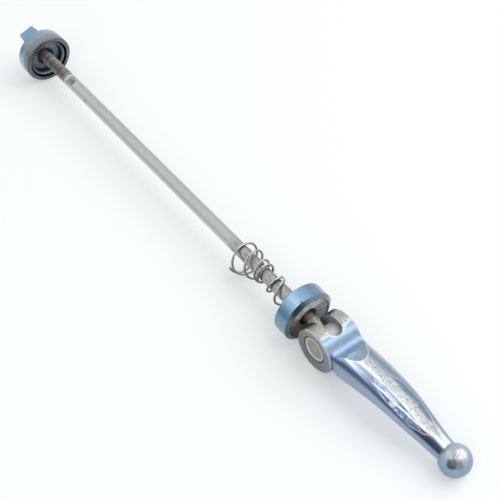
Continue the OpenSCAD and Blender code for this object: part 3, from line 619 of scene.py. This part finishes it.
    # painted shade where the scoop's colour lies on the arm's crest
    on_crest = look.times(look.step(out, 10.4, 11.4), look.step(side, 0.8, -0.8))
    scoop = look.shade(scoop, look.minus(1.0, look.times(on_crest, 0.22)))
    olive = look.times(look.near((30.2, 3.0, 4.6), 0.8, 2.4), 0.55)
    scoop = look.mix(olive, scoop, srgb(143, 164, 164))
    scoop = look.shade(scoop, look.wobble(look.noise((3.0, 1.6, 1.6), 3, 0.5, 1.1), 0.06))
    colour = look.mix(in_scoop, colour, scoop)
    tongue_rim = look.times(look.band(past, 0.22, 0.08, 0.16), look.step(look.normal_z, 0.5, 0.75),
                            look.step(out, 8.5, 10.5))
    colour = look.mix(look.times(tongue_rim, 0.75), colour, srgb(224, 230, 236))

    # the head: worn grey on its crown, with painted shade on the side towards the cap and by the
    # near ear, then blue with painted highlight lines along the pivot
    round_slot = look.times(look.band(look.y, 0.6, 2.0, 2.4), 9.0)
    on_near_ear = look.times(look.step(look.y, 0.5, -2.0), 3.0)
    blue_from = look.minus(round_head, look.plus(round_slot, on_near_ear))
    crown = look.profile(round_head, [
        (-180, srgb(110, 128, 142)), (-90, srgb(116, 128, 136)), (0, srgb(104, 106, 106)),
        (30, srgb(100, 103, 105)), (44, srgb(108, 111, 114)), (58, srgb(154, 156, 155)),
        (70, srgb(174, 173, 170)), (88, srgb(180, 179, 176)), (108, srgb(172, 172, 169)),
        (135, srgb(178, 182, 184)), (180, srgb(138, 162, 182))])
    blue_head = look.profile(round_head, [
        (100, srgb(116, 136, 156)), (111, srgb(118, 140, 162)), (118, srgb(146, 170, 195)),
        (123, srgb(144, 167, 190)), (129, srgb(138, 161, 181)), (136, srgb(146, 169, 191)),
        (142, srgb(152, 175, 201)), (147, srgb(144, 167, 193)), (154, srgb(140, 163, 187)),
        (165, srgb(140, 165, 190))])
    blue_head = look.shade(blue_head, 0.95)
    flecks = look.noise((0.9, 1.3, 0.9), 4, 0.7, 27.0)
    # painted shade on the near ear's side of the crown
    near_dark = look.times(look.step(look.y, -2.0, -3.5), look.step(round_head, 62, 46), 0.2)
    crown = look.shade(crown, look.minus(look.wobble(flecks, 0.5), near_dark))
    past_crown = look.plus(blue_from, look.times(wander, 6.0))
    crown = look.mix(look.step(past_crown, 103, 108), crown, blue_head)
    on_crown = look.times(look.step(from_cam, 8.35, 8.5), look.step(round_head, 150, 146),
                          look.step(out, 9.5, 9.0))
    colour = look.mix(on_crown, colour, crown)

    # flat sides of the ears with a painted rim light and painted shade round the pivot's bore, and
    # the walls of the slot
    ear = look.profile(round_head, [
        (-180, srgb(132, 143, 156)), (-140, srgb(128, 135, 140)), (-100, srgb(122, 126, 127)),
        (-50, srgb(116, 119, 119)), (0, srgb(124, 125, 122)), (50, srgb(138, 138, 134)),
        (100, srgb(142, 143, 140)), (140, srgb(136, 144, 152)), (180, srgb(132, 143, 156))])
    ear = look.shade(ear, look.times(look.wobble(look.noise((0.5, 3.0, 0.5), 4, 0.6, 2.0), 0.14),
                                     look.wobble(look.noise(1.4, 4, 0.65, 2.6), 0.22), 0.96))
    rim_light = look.level(round_head, [(-180, 0.2), (-90, 0.25), (30, 0.1), (70, 0.7),
                                        (120, 0.7), (180, 0.4)])
    rim_light = look.times(look.band(from_cam, 8.35, 0.28, 0.16), rim_light)
    ear = look.mix(rim_light, ear, srgb(204, 208, 210))
    bored = look.length(out, look.z)
    # painted shade in the gap round the pivot's bore
    ear = look.mix(look.times(look.band(bored, 5.05, 0.14, 0.16), 0.75), ear, srgb(70, 76, 80))
    off_middle = look.math("ABSOLUTE", look.y)
    flat = look.times(look.step(look.math("ABSOLUTE", look.normal_y), 0.55, 0.8),
                      look.step(off_middle, 6.7, 6.95), look.step(from_cam, 8.75, 8.6))
    colour = look.mix(flat, colour, ear)
    slot = look.times(look.step(off_middle, 3.3, 3.1), look.step(from_cam, 8.35, 8.2),
                      look.step(out, 8.6, 8.0))
    colour = look.mix(slot, colour, srgb(142, 145, 149))

    # the ball: painted shade towards its bottom, two pale worn patches, mottled brown, with a
    # painted highlight gleam, a dark spot and a tan one
    from_ball = look.vector("SUBTRACT", look.place, BALL)
    ball_z = look.split(from_ball)[2]
    ball = look.profile(ball_z, [(-5.7, srgb(110, 130, 146)), (-1.0, srgb(140, 160, 178)),
                                 (1.6, srgb(142, 163, 183)), (3.4, srgb(150, 168, 186)),
                                 (4.6, srgb(164, 180, 193)), (5.7, srgb(176, 188, 196))])
    ball = look.shade(ball, look.wobble(look.noise(0.5, 3, 0.7, 16.0), 0.20))
    shape = look.noise(1.4, 4, 0.66, 6.6)
    pale = look.math("MAXIMUM", look.near((75.9, 0.3, 0.4), 1.3, 1.6),
                     look.near((78.2, 2.7, 0.66), 1.5, 2.0))
    white = look.times(pale, look.step(shape, 0.38, 0.52))
    ball = look.mix(look.times(white, 0.85), ball, srgb(202, 203, 200))
    mottle = look.times(pale, look.step(look.noise(0.7, 4, 0.65, 3.9), 0.54, 0.62))
    ball = look.mix(look.times(mottle, 0.7), ball, srgb(132, 124, 116))
    gleam = look.near((74.3, 0.9, -0.2), 0.35, 0.8)
    ball = look.mix(look.times(gleam, 0.7), ball, srgb(212, 230, 240))
    blot = look.noise((1.6, 0.9, 0.9), 4, 0.6, 1.9)
    spot = look.times(look.near((77.6, -0.6, -0.9), 1.3, 1.1), look.step(blot, 0.34, 0.46))
    ball = look.mix(look.times(spot, 0.9), ball, srgb(56, 62, 80))
    tan = look.times(look.near((79.6, 0.7, -0.65), 0.9, 1.0), look.step(shape, 0.34, 0.46))
    ball = look.mix(look.times(tan, 0.75), ball, srgb(118, 116, 110))
    on_ball = look.near(BALL, 5.70, 0.05)
    colour = look.mix(on_ball, colour, ball)

    # wear: a pale pitted film along the crown and the leaf, and small dark pits
    film = look.noise(1.7, 5, 0.65, 10.0)
    crown_wear = look.times(on_crown, look.step(blue_from, 104, 96), look.step(round_head, 52, 72))
    crest = look.band(look.plus(side, look.times(wander, 1.5)), 0.25, 1.25, 0.7)
    leaf_wear = look.times(top, crest, look.step(out, 54, 46), look.step(past, 0.3, 1.6))
    either = look.math("MAXIMUM", crown_wear, leaf_wear)
    worn = look.times(either, look.step(film, 0.42, 0.58))
    pale_wear = look.mix(crown_wear, srgb(212, 213, 212), srgb(184, 183, 180))
    colour = look.mix(look.times(worn, 0.8), colour, pale_wear)
    smears = look.times(on_crown, look.step(blue_from, 106, 98),
                        look.step(look.noise(1.9, 4, 0.65, 23.0), 0.50, 0.62))
    colour = look.mix(look.times(smears, 0.35), colour, srgb(140, 137, 132))
    pitting = look.step(look.noise((0.75, 0.5, 0.5), 4, 0.65, 14.0), 0.52, 0.62)
    pits = look.times(look.math("MAXIMUM", either, look.times(white, on_ball)), pitting)
    pit_colour = look.mix(look.step(look.noise(1.1, 2, 0.5, 4.2), 0.45, 0.6),
                          srgb(152, 156, 158), srgb(140, 124, 112))
    colour = look.mix(look.times(pits, 0.75), colour, pit_colour)
    scars = [((37.95, -3.2, 2.7), 0.35), ((57.4, -4.1, 1.2), 0.3), ((62.7, 1.2, 3.9), 0.4)]
    for point, size in scars:
        colour = look.mix(look.times(look.near(point, size, 0.25), 0.8), colour, srgb(60, 66, 72))
    grain = look.times(look.wobble(look.noise((3.0, 1.2, 1.2), 4, 0.6, 8.0), 0.09),
                       look.wobble(speckle, 0.12))
    colour = look.shade(colour, grain)
    fillet = look.times(look.band(round_head, 146, 6, 4), look.step(out, 11, 9.5), 0.16)
    matt = look.times(look.math("MAXIMUM", worn, pits), 0.25)
    roughness = look.plus(matt, look.plus(fillet, 0.28))
    metal = look.minus(1.0, look.plus(look.times(worn, 0.35), look.times(slot, 0.8)))
    height = look.minus(look.times(film, 0.4), look.plus(pits, look.times(worn, 0.3)))
    return look.finish(colour, roughness, metal, height, 0.05)


def paint_nodes():
    """Gives each CAD node its material and smooth curved faces."""
    blue_nut, wire = nut_blue(), spring_wire()
    looks = {"pivot_barrel": pivot_steel(), "lever": lever_chrome(), "end_cap": cap_blue(),
             "cap_bearing_dish": dish_bronze(), "lever_side_spring": wire,
             "nut_side_spring": wire, "nut_body": blue_nut, "nut_serrated_ring": ring_steel()}
    for name, material in looks.items():
        mesh = nodes[name].data
        mesh.materials.clear()
        mesh.materials.append(material)
        mesh.polygons.foreach_set("use_smooth", [True] * len(mesh.polygons))
        mesh.polygons.foreach_set("material_index", [0] * len(mesh.polygons))
        mesh.set_sharp_from_angle(angle=math.radians(32))
        mesh.update()


# ---------------------------------------------------------------- the rod with its real thread

def add_threaded_rod():
    """The rod as one surface of rings, with a right-hand thread cut into its end."""
    around = 40
    chamfer = 0.5
    ring_step = THREAD_PITCH / 10

    def depth(x, turn):
        """Depth of the thread: a rounded V that fades out at both ends of the thread."""
        phase = (x / THREAD_PITCH - turn) % 1.0
        fade = min(1.0, max(0.0, (THREAD_END_X - x) / THREAD_PITCH))
        return THREAD_DEPTH * fade * (0.5 - 0.5 * math.cos(2 * math.pi * phase))

    rings = [(ROD_END_X, THREAD_R - chamfer, False), (ROD_END_X + chamfer, THREAD_R, True)]
    thread_len = THREAD_END_X - ROD_END_X - chamfer
    steps = round(thread_len / ring_step)
    for k in range(1, steps + 1):
        rings.append((ROD_END_X + chamfer + thread_len * k / steps, THREAD_R, True))
    shoulder = 2 * (SHANK_R - NECK_R)
    rings.append((THREAD_END_X + THREAD_R - NECK_R, NECK_R, False))
    rings.append((NECK_END_X, NECK_R, False))
    for k in range(5):
        turn = math.radians(-60 + 15 * k)
        rings.append((NECK_END_X + shoulder + shoulder * math.sin(turn),
                      SHANK_R - shoulder + shoulder * math.cos(turn), False))
    past_pivot = 3.0
    shank_rings = 24
    shank_len = PIVOT_X + past_pivot - NECK_END_X - shoulder
    for k in range(1, shank_rings + 1):
        rings.append((NECK_END_X + shoulder + shank_len * k / shank_rings, SHANK_R, False))

    points, faces = [], []
    for x, r, cut in rings:
        for i in range(around):
            turn = i / around
            angle = 2 * math.pi * turn
            radius = r - (depth(x, turn) if cut else 0)
            points.append(((AXIS[0] + x) * MM, (AXIS[1] + radius * math.cos(angle)) * MM,
                           (AXIS[2] + radius * math.sin(angle)) * MM))
    for k in range(len(rings) - 1):
        ring, following = k * around, (k + 1) * around
        for i in range(around):
            j = (i + 1) % around
            faces.append((ring + i, ring + j, following + j, following + i))
    faces.append(tuple(range(around - 1, -1, -1)))
    last = (len(rings) - 1) * around
    faces.append(tuple(range(last, last + around)))
    mesh = bpy.data.meshes.new("threaded_rod")
    mesh.from_pydata(points, [], faces)
    mesh.materials.append(rod_steel())
    mesh.polygons.foreach_set("use_smooth", [True] * len(mesh.polygons))
    mesh.set_sharp_from_angle(angle=math.radians(40))
    rod = bpy.data.objects.new("threaded_rod", mesh)
    bpy.context.scene.collection.objects.link(rod)
    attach(rod, "skewer")
    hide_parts("skewer_rod")


# ---------------------------------------------------------------- camera, light and floor

def add_camera():
    """The photograph's viewpoint: a point, a direction and a small roll."""
    azimuth, elevation = math.radians(CAMERA_AZIMUTH), math.radians(CAMERA_ELEVATION)
    roll = math.radians(CAMERA_ROLL)
    forward = Vector((math.cos(elevation) * math.cos(azimuth),
                      math.cos(elevation) * math.sin(azimuth), math.sin(elevation)))
    level = forward.cross(Vector((0, 0, 1))).normalized()
    level_up = level.cross(forward)
    right = level * math.cos(roll) + level_up * math.sin(roll)
    up = level_up * math.cos(roll) - level * math.sin(roll)
    camera = bpy.data.objects.new("camera", bpy.data.cameras.new("camera"))
    bpy.context.scene.collection.objects.link(camera)
    turn = Matrix((right, up, -forward)).transposed()
    place = (Vector(AXIS) + Vector(CAMERA_PLACE)) * MM
    camera.matrix_world = Matrix.Translation(place) @ turn.to_4x4()
    camera.data.sensor_width = SENSOR_MM
    camera.data.lens = FOCAL_PX / PHOTO_PX * SENSOR_MM
    camera.data.clip_start, camera.data.clip_end = 0.01, 10
    bpy.context.scene.camera = camera


def add_lamp(name, towards_lamp, distance, size, power):
    """A square soft lamp that looks at the middle of the skewer from the given direction."""
    lamp = bpy.data.objects.new(name, bpy.data.lights.new(name, "AREA"))
    bpy.context.scene.collection.objects.link(lamp)
    direction = Vector(towards_lamp).normalized()
    lamp.location = direction * distance
    lamp.rotation_mode = "QUATERNION"
    lamp.rotation_quaternion = direction.to_track_quat("Z", "Y")
    lamp.data.size = size
    lamp.data.energy = power


def seen_directly(tree):
    """1 for camera, glossy and transmission rays, 0 for the rays that light the object."""
    rays = tree.nodes.new("ShaderNodeLightPath")
    total = None
    for ray in ("Is Camera Ray", "Is Glossy Ray", "Is Transmission Ray"):
        if total is None:
            total = rays.outputs[ray]
            continue
        larger = tree.nodes.new("ShaderNodeMath")
        larger.operation = "MAXIMUM"
        tree.links.new(total, larger.inputs[0])
        tree.links.new(rays.outputs[ray], larger.inputs[1])
        total = larger.outputs[0]
    return total


def add_world(light, light_strength, seen):
    """A plain world that lights the object with one colour and shows another."""
    world = bpy.data.worlds.new("studio")
    bpy.context.scene.world = world
    world.use_nodes = True
    tree = world.node_tree
    background = tree.nodes["Background"]
    mix = tree.nodes.new("ShaderNodeMix")
    mix.data_type = "RGBA"
    tree.links.new(seen_directly(tree), mix.inputs[0])
    mix.inputs[6].default_value = tuple(c * light_strength for c in light) + (1,)
    mix.inputs[7].default_value = seen + (1,)
    tree.links.new(mix.outputs[2], background.inputs[0])


def add_floor():
    """The white paper under the skewer, with a glow that only direct rays see."""
    bpy.ops.mesh.primitive_plane_add(size=6, location=(0, 0, 0))
    floor = bpy.context.object
    floor.name = "floor"
    material = bpy.data.materials.new("floor")
    material.use_nodes = True
    tree = material.node_tree
    tree.nodes.clear()
    out = tree.nodes.new("ShaderNodeOutputMaterial")
    add = tree.nodes.new("ShaderNodeAddShader")
    paper = tree.nodes.new("ShaderNodeBsdfDiffuse")
    paper.inputs[0].default_value = PAPER
    glow = tree.nodes.new("ShaderNodeEmission")
    glow.inputs[0].default_value = GLOW
    strength = tree.nodes.new("ShaderNodeMath")
    strength.operation = "MULTIPLY"
    tree.links.new(seen_directly(tree), strength.inputs[0])
    strength.inputs[1].default_value = GLOW_STRENGTH
    tree.links.new(strength.outputs[0], glow.inputs[1])
    tree.links.new(paper.outputs[0], add.inputs[0])
    tree.links.new(glow.outputs[0], add.inputs[1])
    tree.links.new(add.outputs[0], out.inputs[0])
    floor.data.materials.append(material)


paint_nodes()
add_threaded_rod()
add_camera()
add_world((1.0, 1.0, 1.0), 0.5, (0.98, 1.0, 1.0))
add_lamp("key", (0.25, 0.75, 1.0), 1.2, 1.3, 6.8)
add_lamp("fill", (0.6, -0.9, 0.9), 1.4, 1.0, 3)
add_floor()

bpy.context.scene.view_settings.view_transform = "Standard"
